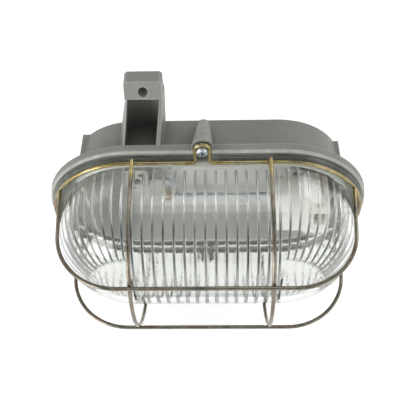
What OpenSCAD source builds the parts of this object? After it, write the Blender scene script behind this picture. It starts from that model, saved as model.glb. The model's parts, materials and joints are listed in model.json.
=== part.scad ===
// Oval damp-proof wall light: a cast housing, a pressed glass bowl with flutes
// inside, and a welded wire guard held by two screws.
// The wall face is the plane Y = 0, the lamp looks towards -Y and Z points up.
// A depth is a distance in front of the wall face.

/* [Housing] */
// Overall length of the flange
body_length = 216; // [206:1:236]
// Overall width of the flange
body_width = 122; // [119:1:126]
// Depth from the wall face to the front of the flange
body_depth = 37.8; // [35:0.2:44]
// How far the flange stands out past the foot of the tub
flange_overhang = 14; // [12:0.5:16]
// Draft of the tub wall, in degrees
tub_draft = 3; // [1:0.5:4]
// Thickness of the tub wall and of its back
tub_wall = 3; // [2.5:0.25:3.5]
// Thickness of the flange
flange_thickness = 5.8; // [5:0.2:7]
// How far the left flat end is cut into the round end of the tub
left_end_cut = 9.5; // [7:0.5:11]
// Half height of the left flat end
left_end_half_height = 34; // [31:1:36]
// How far the right flat end is cut into the round end of the tub
right_end_cut = 3; // [2:0.5:6]
// Half height of the right flat end
right_end_half_height = 24; // [21:1:28]
// Bore of both cable entries
entry_bore = 20; // [16:0.5:21]

/* [Mounting lugs] */
// Distance of each lug from the middle of the lamp
lug_offset = 37; // [30:1:44]
// Distance of the lug's end from the long axis
lug_reach = 92; // [88:0.5:100]
// Width of the lug at its end
lug_end_width = 23; // [20:0.5:24]
// Thickness of the lug at its end
lug_thickness = 9; // [7:0.5:10]
// Length of the solid block at the lug's end
lug_block = 10.2; // [9:0.1:12]
// Slope of the block's front face, in degrees
lug_face_slope = 25; // [15:1:30]
// Thickness of the lug's two ribs at their thin end
lug_rib = 1.9; // [1.5:0.1:3]
// Angle at which the ribs lean towards the nearer end of the lamp
lug_lean = 8; // [4:0.5:10]
// Angle by which each rib thickens towards the tub
lug_spread = 5; // [3:0.5:6]
// Draft of the ribs' outer sides
lug_draft = 3; // [1:0.5:5]
// Distance of the mounting hole from the lug's end
lug_hole_inset = 6; // [5:0.1:6.4]
// Bore of the mounting hole
lug_bore = 6; // [5:0.1:6.5]

/* [Screw bosses] */
// Distance of each guard screw outside the flange's edge
screw_reach = 8.5; // [8:0.5:12]
// Radius of a boss at the guard
boss_front_radius = 6.7; // [6:0.1:7.5]
// Radius of a boss at the wall
boss_back_radius = 4.3; // [3.5:0.1:5]
// How far both bosses stand to the left of the middle
boss_shift = 1.5; // [0:0.5:3]

/* [Glass bowl] */
// How far the bowl's wall stands inside the flange's edge
glass_inset = 9.8; // [9:0.2:11]
// Depth of the bowl in front of its rim
glass_depth = 61.4; // [55:0.2:64]
// Radius of the bowl's large rounding outside
glass_corner = 44; // [38:0.5:46]
// Thickness of the glass
glass_thickness = 4; // [3.5:0.1:4.5]
// Width of the rim round the bowl
rim_width = 7.4; // [7:0.1:7.8]
// Thickness of the rim
rim_thickness = 3.5; // [3:0.1:4.5]
// Distance from one flute to the next
flute_pitch = 6.4; // [5.5:0.1:8]
// Width of the rib between two flutes
flute_rib = 1.6; // [1.2:0.1:2.4]
// Height of the rib between two flutes
flute_height = 1; // [0.6:0.1:1.4]
// Radius of the smooth round spot that the flutes leave at each end
smooth_spot = 27; // [22:0.5:32]
// Width of the gasket under the rim
gasket_width = 4.6; // [4:0.1:4.8]
// Depth of the gasket's groove
groove_depth = 2; // [1.5:0.1:2.5]

/* [Wire guard] */
// Diameter of the guard's wire
wire = 2.5; // [2.2:0.1:2.8]
// How far the middle of the ring's wire lies inside the rim's edge
ring_inset = 2; // [1.6:0.1:2.4]
// Distance of the cross hoops' front from the ring
guard_depth = 77; // [74:0.5:84]
// Inward lean of the cross hoops' legs, in degrees
cross_hoop_lean = 7.5; // [5:0.5:9]
// Distance of the left cross hoop from the middle
left_hoop_offset = 44.9; // [38:0.1:46]
// Distance of the right cross hoop from the middle
right_hoop_offset = 40; // [38:0.1:46]
// Height of the two long hoops above and below the axis
long_hoop_height = 29; // [24:0.5:30]
// Radius of the long hoops' corners
long_hoop_corner = 40; // [34:0.5:42]
// Inward lean of the long hoops' legs, in degrees
long_hoop_lean = 5.5; // [3:0.5:8]
// Radius of the eyelets round the screws, to the middle of the wire
eyelet_radius = 4.4; // [4.2:0.1:4.8]
// Radius of the bends that lead into an eyelet
eyelet_bend = 2.2; // [2:0.1:3]
// Depth to which each wire sinks at a weld
weld_sink = 0.25; // [0.15:0.05:0.35]

/* [Screws] */
// Thread diameter of the guard, bracket and lampholder screws
screw_thread = 4; // [3.5:0.1:4]
// Head diameter of these screws
screw_head = 7; // [6.6:0.1:7.2]
// Head height of these screws
screw_head_height = 2.6; // [2:0.1:2.8]
// Length of a guard screw under its head
guard_screw_length = 8; // [7:0.5:9]

/* [Lampholder] */
// Depth of the lamp's axis in front of the wall
lamp_depth = 36; // [34:0.5:40]
// Length of the porcelain body
holder_length = 37; // [34:0.5:42]
// Radius of the body's base
holder_base_radius = 21; // [20:0.5:22]
// Radius of the body's skirt
holder_skirt_radius = 18.5; // [17.5:0.5:19.5]
// Length of the body's base
holder_base_length = 14; // [13:0.5:16]
// Bore of the threaded shell
shell_bore = 27; // [26.6:0.1:27.4]
// Wall of the threaded shell
shell_wall = 0.8; // [0.6:0.1:1]
// Length of the threaded shell
shell_length = 22; // [20:0.5:23]
// Thickness of the bracket's sheet
bracket_sheet = 1.5; // [1.2:0.1:2]
// Width of the bracket
bracket_width = 26; // [24:0.5:30]
// Length of the bracket's foot
bracket_foot = 23; // [20:0.5:26]

/* [Terminals] */
// Distance of the terminal block from the middle of the lamp
block_offset = 50; // [46:1:54]
// Length of the terminal block
block_length = 28; // [26:0.5:30]
// Width of the terminal block
block_width = 16; // [15:0.5:18]
// Height of the terminal block
block_height = 14; // [13:0.5:15]
// Distance between the two poles
pole_spacing = 14; // [13:0.5:15]
// Bore of the brass terminal tubes
tube_bore = 3.4; // [3.2:0.1:3.6]
// Wall of the brass terminal tubes
tube_wall = 1.1; // [1:0.1:1.3]
// Diameter of the internal leads over their insulation
lead_diameter = 2.4; // [2:0.1:2.6]
// Distance of the leads from the long axis beside the lampholder
lead_offset = 24.5; // [24:0.5:27]
// Bend radius of the leads
lead_bend = 6; // [5:0.5:7]

/* [Hidden] */
$fn = 96;

// Clearance between a round piece and its bore or groove, each side
fit_gap = 0.3;
// Room in a blind hole below the tip of its screw
tip_gap = 0.3;
// Overlap of a cut past the face that it opens
cut = 1;
// Half length of the oval's straight stretch
half_straight = (body_length - body_width) / 2;
flange_radius = body_width / 2;
tub_half_width = flange_radius - flange_overhang;
flange_lean = 0.6;
flange_chamfer = 1;
flange_back = body_depth - flange_thickness;
tub_slope = tan(tub_draft);
tub_inner = tub_half_width - tub_wall;
floor_chamfer = 2.5;
lug_chamfer = 1.5;
lug_shift = 0.7;
lug_pocket_round = 5;
left_end_x = -(half_straight + tub_half_width - left_end_cut);
right_end_x = half_straight + tub_half_width - right_end_cut;
end_pad_length = 16;
entry_depth = (tub_wall + flange_back) / 2;

glass_half_width = flange_radius - glass_inset;
rim_half_width = glass_half_width + rim_width;
groove_middle = glass_half_width + rim_width / 2;
gasket_proud = 0.25;
rim_back = body_depth + gasket_proud;
rim_front = rim_back + rim_thickness;
ring_half_width = rim_half_width - ring_inset;
ring_depth = rim_front + wire / 2 + fit_gap;
screw_offset = flange_radius + screw_reach;
glass_front = rim_front + glass_depth;
bowl_bend_depth = glass_front - glass_corner;
bowl_bend_width = glass_half_width - glass_corner;
rim_chamfer = 0.5;
rim_fillet = 1.6;
flute_start = rim_front + rim_fillet + 1;
flute_turn = glass_half_width - glass_thickness;
flute_quarter = half_straight + flute_turn * PI / 2;
flute_count = round(flute_quarter / flute_pitch);
flute_step = flute_quarter / flute_count;
flute_width = flute_step - flute_rib;

boss_slope = (screw_offset - tub_half_width + boss_back_radius) / rim_front;
boss_tilt = atan(boss_slope);
boss_axis = rim_front / cos(boss_tilt);
boss_overrun = 4;
thread_bore = screw_thread + 2 * fit_gap;
// Depth at which a screw's head meets the round wire of its eyelet
guard_screw_seat = ring_depth + 0.05
  + sqrt(pow(wire / 2, 2) - pow(max(0, eyelet_radius - screw_head / 2), 2));
slot_width = 0.9;
slot_depth = 1.3;

// Wire lost in diameter where it is bent, and the bend's run into the straight wire
bend_thinning = 0.03;
bend_overlap = 1;
cross_hoop_front = ring_depth + guard_depth;
cross_hoop_foot = ring_half_width + wire - 2 * weld_sink;
cross_hoop_start = rim_front + fit_gap;
cross_bow = (cross_hoop_foot * cos(cross_hoop_lean)
  - (cross_hoop_front - cross_hoop_start) * sin(cross_hoop_lean)) / (1 - sin(cross_hoop_lean));
cross_bow_middle = cross_hoop_front - cross_bow;
ring_weld_height = ring_half_width + wire / 2 - weld_sink;
// The long hoops lie across the bowed fronts; each weld's flat looks away from the bow's middle
weld_radius = cross_bow + wire / 2 - weld_sink;
weld_angle = asin(long_hoop_height / (weld_radius + wire / 2 - weld_sink));
long_hoop_front = cross_bow_middle + (weld_radius + wire / 2 - weld_sink) * cos(weld_angle);
long_hoop_foot = half_straight + sqrt(pow(ring_half_width, 2) - pow(long_hoop_height, 2));
long_hoop_start = ring_depth + wire / 2 - weld_sink;
weld_half_length = 2.4;

pad_height = 3;
floor_front = tub_wall;
pad_front = floor_front + pad_height;
pad_radius = 5;
end_inner_x = right_end_x - tub_wall;
plug_washer_thickness = 1;
plug_nut_height = 4;
plug_neck_end = end_inner_x - plug_nut_height - 0.6;
bracket_back_x = min(end_inner_x - screw_head_height, plug_neck_end) - 0.8;
holder_back_x = bracket_back_x - bracket_sheet;
holder_mouth_x = holder_back_x - holder_length;
holder_bore = shell_bore / 2 + shell_wall + fit_gap;
shell_lip = 2;
contact_recess = 3.4;
holder_floor_x = holder_mouth_x + shell_lip + shell_length;
holder_screw_spread = 10;
holder_screw_length = 10;
bracket_bend = 3;
bracket_screw_inset = 6;
bracket_top = lamp_depth + holder_base_radius * 2 / 3;
bracket_foot_x = bracket_back_x - bracket_foot;
bracket_screw_x = bracket_foot_x + bracket_screw_inset;
bracket_screw_spread = 8;
bracket_screw_length = 5;

clamp_size = 7;
clamp_height = 5.5;
clamp_rise = 10;
clamp_seat = lamp_depth + clamp_rise;
clamp_spread = 9;
clamp_x = (holder_floor_x + holder_back_x) / 2;
clamp_bore = lead_diameter + 2 * fit_gap;
lead_top = clamp_seat + clamp_height / 2;
small_thread = 3;
small_head = 5;

tube_radius = tube_bore / 2 + tube_wall;
tube_depth = floor_front + block_height * 0.43;
tube_length = block_width - 1;
tube_screw_spread = 3.6;
block_screw_sink = 5;
block_screw_seat = floor_front + block_height - block_screw_sink;
block_screw_thread = 3.2;
block_screw_head = 6.4;
thin_bottom = 1.2;

earth_x = -30;
earth_z = -29;
earth_washer_thickness = 1;
earth_screw_length = 6;

// Middle of a long hoop's corner, as [distance from the hoop's middle, depth]
function corner_middle(foot, start, front, corner, lean) =
  [foot - (front - corner * (1 - sin(lean)) - start) * tan(lean) - corner * cos(lean),
   front - corner];

// Sweeps an outline of [distance from the centre line, depth] round the oval
module around_oval() {
  for (side = [-1, 1])
    translate([side * half_straight, 0, 0])
      rotate([90, 0, 0])
        rotate([0, 0, -90 * side])
          rotate_extrude(angle = 180)
            children();
  for (side = [0, 1])
    mirror([0, 0, side])
      rotate([180, 0, 0])
        rotate([0, 90, 0])
          translate([0, 0, -half_straight])
            linear_extrude(2 * half_straight)
              children();
}

// Turns what is drawn along +Z towards the front of the lamp
module to_front(x, depth, z) {
  translate([x, -depth, z])
    rotate([90, 0, 0])
      children();
}

// Turns what is drawn along +Z towards +X
module to_right(x, depth, z) {
  translate([x, -depth, z])
    rotate([0, 90, 0])
      children();
}

// Box between two X, two depth and two Z values
module block_between(x, depth, z) {
  translate([x[0], -depth[1], z[0]])
    cube([x[1] - x[0], depth[1] - depth[0], z[1] - z[0]]);
}

// Cheese-head screw along +Z, its shank below zero and its head above
module screw(thread, head, head_height, length) {
  difference() {
    union() {
      translate([0, 0, -length])
        cylinder(d = thread, h = length + head_height / 2);
      cylinder(d = head, h = head_height * 0.7);
      translate([0, 0, head_height * 0.7])
        cylinder(d1 = head, d2 = head * 0.72, h = head_height * 0.3);
    }
    for (turn = [0, 90])
      rotate([0, 0, turn])
        translate([-head * 0.3, -slot_width / 2, head_height - slot_depth])
          cube([head * 0.6, slot_width, slot_depth + cut]);
  }
}

// Slotted screw along +Z without a cross
module slotted_screw(thread, head, head_height, length) {
  difference() {
    union() {
      translate([0, 0, -length])
        cylinder(d = thread, h = length + head_height / 2);
      cylinder(d = head, h = head_height);
    }
    translate([-head, -slot_width / 2, head_height - slot_depth])
      cube([2 * head, slot_width, slot_depth + cut]);
  }
}

// Housing
module tub_outside() {
  around_oval()
    polygon([
      [0, 0],
      [tub_half_width, 0],
      [tub_half_width + flange_back * tub_slope, flange_back],
      [flange_radius, flange_back],
      [flange_radius - flange_lean, body_depth - flange_chamfer],
      [flange_radius - flange_lean - flange_chamfer, body_depth],
      [0, body_depth]
    ]);
}

module tub_inside() {
  around_oval()
    polygon([
      [0, tub_wall],
      [tub_inner + tub_wall * tub_slope - floor_chamfer, tub_wall],
      [tub_inner + (tub_wall + floor_chamfer) * tub_slope, tub_wall + floor_chamfer],
      [tub_inner + (body_depth + cut) * tub_slope, body_depth + cut],
      [0, body_depth + cut]
    ]);
}

module gasket_groove() {
  around_oval()
    translate([groove_middle - gasket_width / 2 - fit_gap, body_depth - groove_depth])
      square([gasket_width + 2 * fit_gap, groove_depth + cut]);
}

// Flat end for a cable entry: the round end is cut off and closed by a pad
module end_cut(x, side, depth) {
  block_between(side > 0 ? [x, body_length] : [-body_length, x],
                [-cut, depth], [-body_width, body_width]);
}

module end_pad(x, side, half_height) {
  block_between(side > 0 ? [x - end_pad_length, x] : [x, x + end_pad_length],
                [0, flange_back + cut], [-half_height, half_height]);
}

module lug() {
  block_bottom = lug_reach - lug_block;
  block_front = lug_thickness + lug_block * tan(lug_face_slope);
  half_end = lug_end_width / 2;
  outer_width = 2 * lug_end_width;
  pocket = half_end - lug_rib;
  pocket_side = pocket - lug_pocket_round;
  pocket_top = tub_wall + lug_pocket_round;
  lug_root = tub_half_width - tub_wall - cut;
  difference() {
    intersection() {
      translate([-outer_width, 0, 0])
        rotate([0, 90, 0])
          rotate([0, 0, 180])
            linear_extrude(2 * outer_width)
              polygon([
                [lug_root, 0],
                [lug_reach, 0],
                [lug_reach, lug_thickness],
                [block_bottom, block_front],
                [flange_radius - flange_lean, flange_back + cut],
                [lug_root, flange_back + cut]
              ]);
      to_front(0, -cut, 0)
        linear_extrude(body_depth + 2 * cut)
          polygon([
            [-lug_end_width, lug_root],
            [lug_end_width, lug_root],
            [half_end, block_bottom],
            [half_end, lug_reach - lug_chamfer],
            [half_end - lug_chamfer, lug_reach],
            [lug_chamfer - half_end, lug_reach],
            [-half_end, lug_reach - lug_chamfer],
            [-half_end, block_bottom]
          ]);
    }
    // Recess between the ribs, with its two back corners rounded
    intersection() {
      block_between([-outer_width, outer_width], [0, body_depth], [0, block_bottom]);
      translate([0, 0, block_bottom])
        rotate([0, lug_lean, 0]) {
          block_between([-pocket, pocket], [pocket_top, 2 * body_depth],
                        [-lug_reach, lug_end_width]);
          block_between([-pocket_side, pocket_side], [tub_wall, pocket_top + cut],
                        [-lug_reach, lug_end_width]);
          for (side = [-1, 1])
            translate([side * pocket_side, -pocket_top, -lug_reach])
              cylinder(r = lug_pocket_round, h = lug_reach + lug_end_width);
        }
    }
    // Outer sides of the ribs
    for (side = [-1, 1])
      intersection() {
        block_between([-outer_width, outer_width], [-body_depth, 2 * body_depth],
                      [0, block_bottom]);
        translate([side * half_end + lug_shift, 0, block_bottom])
          rotate([0, lug_lean - side * lug_spread, 0])
            rotate([0, 0, -side * lug_draft])
              translate([side * outer_width / 2, 0, 0])
                cube([outer_width, 4 * body_depth, 2 * lug_reach], center = true);
      }
    to_front(0, -cut, lug_reach - lug_hole_inset)
      cylinder(d = lug_bore, h = block_front + 2 * cut);
  }
}

module screw_boss() {
  to_front(-boss_shift, rim_front, screw_offset)
    rotate([-boss_tilt, 0, 0])
      translate([0, 0, -boss_axis - boss_overrun])
        cylinder(r1 = boss_back_radius, r2 = boss_front_radius, h = boss_axis + 2 * boss_overrun);
}

module screw_boss_trimmed() {
  intersection() {
    screw_boss();
    block_between([-flange_radius, flange_radius], [0, rim_front], [0, 2 * screw_offset]);
  }
}

module housing() {
  color([0.5, 0.51, 0.49])
    difference() {
      union() {
        difference() {
          tub_outside();
          end_cut(left_end_x, -1, flange_back);
          end_cut(right_end_x, 1, flange_back);
        }
        end_pad(left_end_x, -1, left_end_half_height);
        end_pad(right_end_x, 1, right_end_half_height);
        for (turn = [0, 180])
          rotate([0, turn, 0])
            translate([-lug_offset, 0, 0])
              lug();
        for (side = [0, 1])
          mirror([0, 0, side])
            screw_boss_trimmed();
      }
      difference() {
        tub_inside();
        end_cut(left_end_x + tub_wall, -1, body_depth + 2 * cut);
        end_cut(end_inner_x, 1, body_depth + 2 * cut);
        floor_pads();
      }
      gasket_groove();
      for (side = [-1, 1])
        to_front(-boss_shift, guard_screw_seat - guard_screw_length - tip_gap,
                 side * screw_offset)
          cylinder(d = thread_bore, h = guard_screw_length + tip_gap);
      for (x = [left_end_x - cut, end_inner_x - cut])
        to_right(x, entry_depth, 0)
          cylinder(d = entry_bore, h = tub_wall + 2 * cut);
      for (side = [-1, 1])
        to_front(bracket_screw_x, pad_front + bracket_sheet - bracket_screw_length - tip_gap,
                 side * bracket_screw_spread)
          cylinder(d = thread_bore, h = bracket_screw_length);
      to_front(-block_offset, thin_bottom, 0)
        cylinder(d = block_screw_thread + 2 * fit_gap, h = pad_front);
      to_front(earth_x, pad_front + earth_washer_thickness - earth_screw_length - tip_gap, earth_z)
        cylinder(d = thread_bore, h = earth_screw_length);
    }
}

// Raised pads on the floor for the bracket and the earth screw
module floor_pads() {
  for (side = [-1, 1])
    to_front(bracket_screw_x, 0, side * bracket_screw_spread)
      cylinder(r = pad_radius, h = pad_front);
  to_front(earth_x, 0, earth_z)
    cylinder(r = pad_radius, h = pad_front);
}

module glass_gasket() {
  color([0.12, 0.12, 0.12])
    around_oval()
      translate([groove_middle - gasket_width / 2, body_depth - groove_depth])
        square([gasket_width, groove_depth + gasket_proud]);
}

// Glass bowl
// Outline of the bowl, set in from the outside and open towards the back
module bowl_outline(inset, start) {
  corner = glass_corner - inset;
  wall = glass_half_width - inset;
  intersection() {
    union() {
      translate([0, start])
        square([wall, bowl_bend_depth - start]);
      translate([bowl_bend_width, bowl_bend_depth])
        circle(r = corner);
      translate([0, bowl_bend_depth])
        square([bowl_bend_width, corner]);
    }
    translate([0, start])
      square([wall, bowl_bend_depth + corner - start]);
  }
}

// Slot of one flute, at a distance from the middle that is measured round the oval
module flute_slot(distance, side) {
  if (distance < half_straight)
    translate([side * distance - flute_width / 2, -glass_front, -body_width / 2])
      cube([flute_width, glass_front - flute_start, body_width]);
  else {
    angle = (distance - half_straight) / flute_turn * 180 / PI;
    spread = flute_width / 2 / flute_turn * 180 / PI;
    for (half = [-1, 1])
      to_front(side * half_straight, flute_start, 0)
        linear_extrude(glass_front - flute_start)
          polygon([
            for (corner = [[smooth_spot, -1], [body_width, -1], [body_width, 1], [smooth_spot, 1]])
              corner[0] * [side * sin(angle + corner[1] * spread),
                           half * cos(angle + corner[1] * spread)]
          ]);
  }
}

// Slots that run straight across the middle and fan out round the two ends
module flute_slots() {
  for (i = [0:flute_count - 1], side = [-1, 1])
    flute_slot((i + 0.5) * flute_step, side);
}

module glass_bowl() {
  color([0.85, 0.9, 0.88, 0.45])
    difference() {
      around_oval()
        union() {
          bowl_outline(0, rim_back);
          polygon([
            [0, rim_back],
            [rim_half_width, rim_back],
            [rim_half_width, rim_front - rim_chamfer],
            [rim_half_width - rim_chamfer, rim_front],
            [glass_half_width + rim_fillet, rim_front],
            [glass_half_width, rim_front + rim_fillet],
            [0, rim_front + rim_fillet]
          ]);
        }
      around_oval()
        bowl_outline(glass_thickness + flute_height, rim_back - cut);
      around_oval()
        translate([0, rim_back - cut])
          square([glass_half_width - glass_thickness, flute_start - rim_back + cut]);
      intersection() {
        around_oval()
          bowl_outline(glass_thickness, rim_back);
        flute_slots();
      }
    }
}

// Wire guard
// Two legs of a hoop in the plane of X and depth, cut off level at their feet
module hoop_legs(foot, start, corner, lean, bend) {
  leg = (bend[1] + corner * sin(lean) - start) / cos(lean);
  difference() {
    for (side = [0, 1])
      mirror([side, 0, 0])
        translate([foot, -start, 0])
          rotate([90, 0, -lean])
            translate([0, 0, -wire])
              cylinder(d = wire, h = leg + wire);
    block_between([-2 * foot, 2 * foot], [start - 2 * wire, start], [-wire, wire]);
  }
}

module long_hoop() {
  bend = corner_middle(long_hoop_foot, long_hoop_start, long_hoop_front,
                       long_hoop_corner, long_hoop_lean);
  hoop_legs(long_hoop_foot, long_hoop_start, long_hoop_corner, long_hoop_lean, bend);
  for (side = [0, 1])
    mirror([side, 0, 0])
      translate([bend[0], -bend[1], 0])
        rotate([0, 0, -90 - bend_overlap])
          rotate_extrude(angle = 90 - long_hoop_lean + 2 * bend_overlap)
            translate([long_hoop_corner, 0])
              circle(d = wire - bend_thinning);
  translate([-bend[0], -long_hoop_front, 0])
    rotate([0, 90, 0])
      cylinder(d = wire, h = 2 * bend[0]);
}

module cross_hoop() {
  rotate([0, 90, 0]) {
    hoop_legs(cross_hoop_foot, cross_hoop_start, cross_bow, cross_hoop_lean,
              [0, cross_bow_middle]);
    translate([0, -cross_bow_middle, 0])
      rotate([0, 0, cross_hoop_lean - bend_overlap - 180])
        rotate_extrude(angle = 180 - 2 * cross_hoop_lean + 2 * bend_overlap)
          translate([cross_bow, 0])
            circle(d = wire - bend_thinning);
  }
}

// Block on one side of the flat between a cross hoop and a long hoop
module weld_block(x, side, from, to) {
  to_front(x, cross_bow_middle, 0)
    rotate([-side * weld_angle, 0, 0])
      translate([-weld_half_length, -weld_half_length, from])
        cube([2 * weld_half_length, 2 * weld_half_length, to - from]);
}

module guard_hoop_long(side) {
  color([0.62, 0.55, 0.36])
    difference() {
      translate([0, 0, side * long_hoop_height])
        long_hoop();
      for (x = [-left_hoop_offset, right_hoop_offset])
        weld_block(x, side, weld_radius - wire, weld_radius);
    }
}

module guard_hoop_cross(x) {
  color([0.62, 0.55, 0.36])
    difference() {
      translate([x, 0, 0])
        cross_hoop();
      for (side = [-1, 1])
        weld_block(x, side, weld_radius, weld_radius + wire);
      // Flats where the feet are welded to the outside of the ring
      block_between([x - wire, x + wire], [0, ring_depth + wire / 2 + weld_sink],
                    [-ring_weld_height, ring_weld_height]);
    }
}

module guard_hoop_upper() {
  guard_hoop_long(1);
}

module guard_hoop_lower() {
  guard_hoop_long(-1);
}

module guard_hoop_left() {
  guard_hoop_cross(-left_hoop_offset);
}

module guard_hoop_right() {
  guard_hoop_cross(right_hoop_offset);
}

// Straight stretches of the ring above the axis and the eyelet between them
module eyelet() {
  shoulder = eyelet_radius + eyelet_bend;
  for (side = [-1, 1])
    translate([-boss_shift, 0, 0])
      mirror([side < 0 ? 1 : 0, 0, 0]) {
        translate([shoulder, 0, ring_half_width])
          rotate([0, 90, 0])
            cylinder(d = wire, h = half_straight + side * boss_shift - shoulder);
        translate([shoulder, 0, ring_half_width + eyelet_bend])
          rotate([90, 0, 0])
            rotate([0, 0, 180])
              rotate_extrude(angle = 90)
                translate([eyelet_bend, 0])
                  circle(d = wire);
        translate([eyelet_radius, 0, ring_half_width + eyelet_bend])
          cylinder(d = wire, h = screw_offset - ring_half_width - eyelet_bend);
      }
  translate([-boss_shift, 0, screw_offset])
    rotate([90, 0, 0])
      rotate_extrude(angle = 180)
        translate([eyelet_radius, 0])
          circle(d = wire);
}

module guard_ring() {
  color([0.66, 0.58, 0.34])
    difference() {
      translate([0, -ring_depth, 0])
        union() {
          for (side = [-1, 1])
            translate([side * half_straight, 0, 0])
              rotate([90, 0, 0])
                rotate([0, 0, -90 * side])
                  rotate_extrude(angle = 180)
                    translate([ring_half_width, 0])
                      circle(d = wire);
          for (side = [0, 1])
            mirror([0, 0, side])
              eyelet();
        }
      for (x = [-left_hoop_offset, right_hoop_offset], side = [0, 1])
        mirror([0, 0, side])
          block_between([x - weld_half_length, x + weld_half_length],
                        [ring_depth - wire, ring_depth + wire],
                        [ring_weld_height, ring_half_width + wire]);
      for (x = [-long_hoop_foot, long_hoop_foot], side = [-1, 1])
        block_between([x - weld_half_length, x + weld_half_length],
                      [long_hoop_start, long_hoop_start + wire],
                      [side * long_hoop_height - weld_half_length,
                       side * long_hoop_height + weld_half_length]);
    }
}

module guard_screws() {
  color([0.75, 0.76, 0.77])
    for (side = [-1, 1])
      to_front(-boss_shift, guard_screw_seat, side * screw_offset)
        screw(screw_thread, screw_head, screw_head_height, guard_screw_length);
}

// Lampholder
module lampholder_bracket() {
  color([0.7, 0.71, 0.72])
    difference() {
      translate([0, 0, -bracket_width / 2])
        linear_extrude(bracket_width)
          bracket_profile();
      for (side = [-1, 1]) {
        to_front(bracket_screw_x, pad_front - cut, side * bracket_screw_spread)
          cylinder(d = thread_bore, h = bracket_sheet + 2 * cut);
        to_right(holder_back_x - cut, lamp_depth, side * holder_screw_spread)
          cylinder(d = thread_bore, h = bracket_sheet + 2 * cut);
      }
    }
}

// Folded sheet seen along Z: a foot, a bend and an upright
module bracket_profile() {
  middle = [bracket_back_x - bracket_bend, -pad_front - bracket_bend];
  translate([bracket_foot_x, -pad_front - bracket_sheet])
    square([bracket_foot - bracket_bend, bracket_sheet]);
  translate([holder_back_x, -bracket_top])
    square([bracket_sheet, bracket_top - pad_front - bracket_bend]);
  intersection() {
    difference() {
      translate(middle)
        circle(r = bracket_bend);
      translate(middle)
        circle(r = bracket_bend - bracket_sheet);
    }
    translate(middle)
      square(bracket_bend);
  }
}

module bracket_screws() {
  color([0.72, 0.72, 0.7])
    for (side = [-1, 1])
      to_front(bracket_screw_x, pad_front + bracket_sheet, side * bracket_screw_spread)
        screw(screw_thread, screw_head, screw_head_height, bracket_screw_length);
}

module lampholder_body() {
  color([0.94, 0.93, 0.89])
    difference() {
      to_right(holder_mouth_x, lamp_depth, 0)
        rotate_extrude()
          holder_profile();
      for (side = [-1, 1]) {
        to_right(holder_back_x - holder_screw_length, lamp_depth, side * holder_screw_spread)
          cylinder(d = thread_bore, h = holder_screw_length + cut);
        block_between([clamp_x - clamp_size / 2 - fit_gap, clamp_x + clamp_size / 2 + fit_gap],
                      [clamp_seat, lamp_depth + holder_base_radius + cut],
                      [side * clamp_spread - clamp_size / 2 - fit_gap,
                       side * clamp_spread + clamp_size / 2 + fit_gap]);
        translate([clamp_x, -lead_top, side * clamp_spread])
          rotate([side > 0 ? 0 : 180, 0, 0])
            cylinder(d = clamp_bore, h = holder_base_radius);
      }
    }
}

// Half section of the porcelain body, from its mouth to its back
module holder_profile() {
  neck = holder_length - holder_base_length;
  mouth_round = 2.5;
  difference() {
    union() {
      translate([0, mouth_round])
        square([holder_skirt_radius, holder_length - mouth_round]);
      square([holder_skirt_radius - mouth_round, mouth_round]);
      translate([holder_skirt_radius - mouth_round, mouth_round])
        circle(r = mouth_round);
      polygon([
        [0, neck - 2],
        [holder_skirt_radius, neck - 2],
        [holder_base_radius, neck],
        [holder_base_radius, holder_length - 1],
        [holder_base_radius - 1, holder_length],
        [0, holder_length]
      ]);
    }
    square([holder_bore, shell_lip + shell_length]);
    square([shell_bore / 4, shell_lip + shell_length + contact_recess]);
  }
}

module lampholder_screws() {
  color([0.72, 0.72, 0.7])
    for (side = [-1, 1])
      to_right(bracket_back_x, lamp_depth, side * holder_screw_spread)
        screw(screw_thread, screw_head, screw_head_height, holder_screw_length);
}

// Shell that takes the lamp's cap, with a hole in its floor for the contact
module lampholder_shell() {
  color([0.8, 0.68, 0.38])
    difference() {
      to_right(holder_mouth_x + shell_lip, lamp_depth, 0)
        cylinder(r = shell_bore / 2 + shell_wall, h = shell_length);
      to_right(holder_mouth_x + shell_lip - cut, lamp_depth, 0)
        cylinder(d = shell_bore, h = shell_length - shell_wall + cut);
      to_right(holder_mouth_x, lamp_depth, 0)
        cylinder(r = shell_bore / 4, h = holder_length);
    }
}

// Folded spring strip in a recess behind the shell, which touches the lamp's tip
module centre_contact() {
  leaf = 0.6;
  half_width = 3;
  reach = 5;
  rise = 4;
  color([0.82, 0.7, 0.4])
    translate([holder_floor_x + contact_recess, -lamp_depth, -half_width])
      linear_extrude(2 * half_width)
        polygon([
          [0, -reach],
          [0, reach],
          [-leaf, reach],
          [-rise, 1 - reach],
          [leaf - rise, 1 - reach],
          [-leaf, reach - 1.5],
          [-leaf, -reach]
        ]);
}

module lampholder_clamps() {
  color([0.8, 0.66, 0.36])
    for (side = [-1, 1])
      difference() {
        block_between([clamp_x - clamp_size / 2, clamp_x + clamp_size / 2],
                      [clamp_seat, clamp_seat + clamp_height],
                      [side * clamp_spread - clamp_size / 2, side * clamp_spread + clamp_size / 2]);
        translate([clamp_x, -lead_top, side * clamp_spread - clamp_size])
          cylinder(d = clamp_bore, h = 2 * clamp_size);
        to_front(clamp_x, lead_top, side * clamp_spread)
          cylinder(d = small_thread + 2 * fit_gap, h = clamp_height);
      }
}

module clamp_screws() {
  color([0.78, 0.66, 0.4])
    for (side = [-1, 1])
      to_front(clamp_x, clamp_seat + clamp_height + 0.1, side * clamp_spread)
        slotted_screw(small_thread, small_head, 2,
                      clamp_height / 2 - lead_diameter / 2 - 0.1);
}

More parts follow.
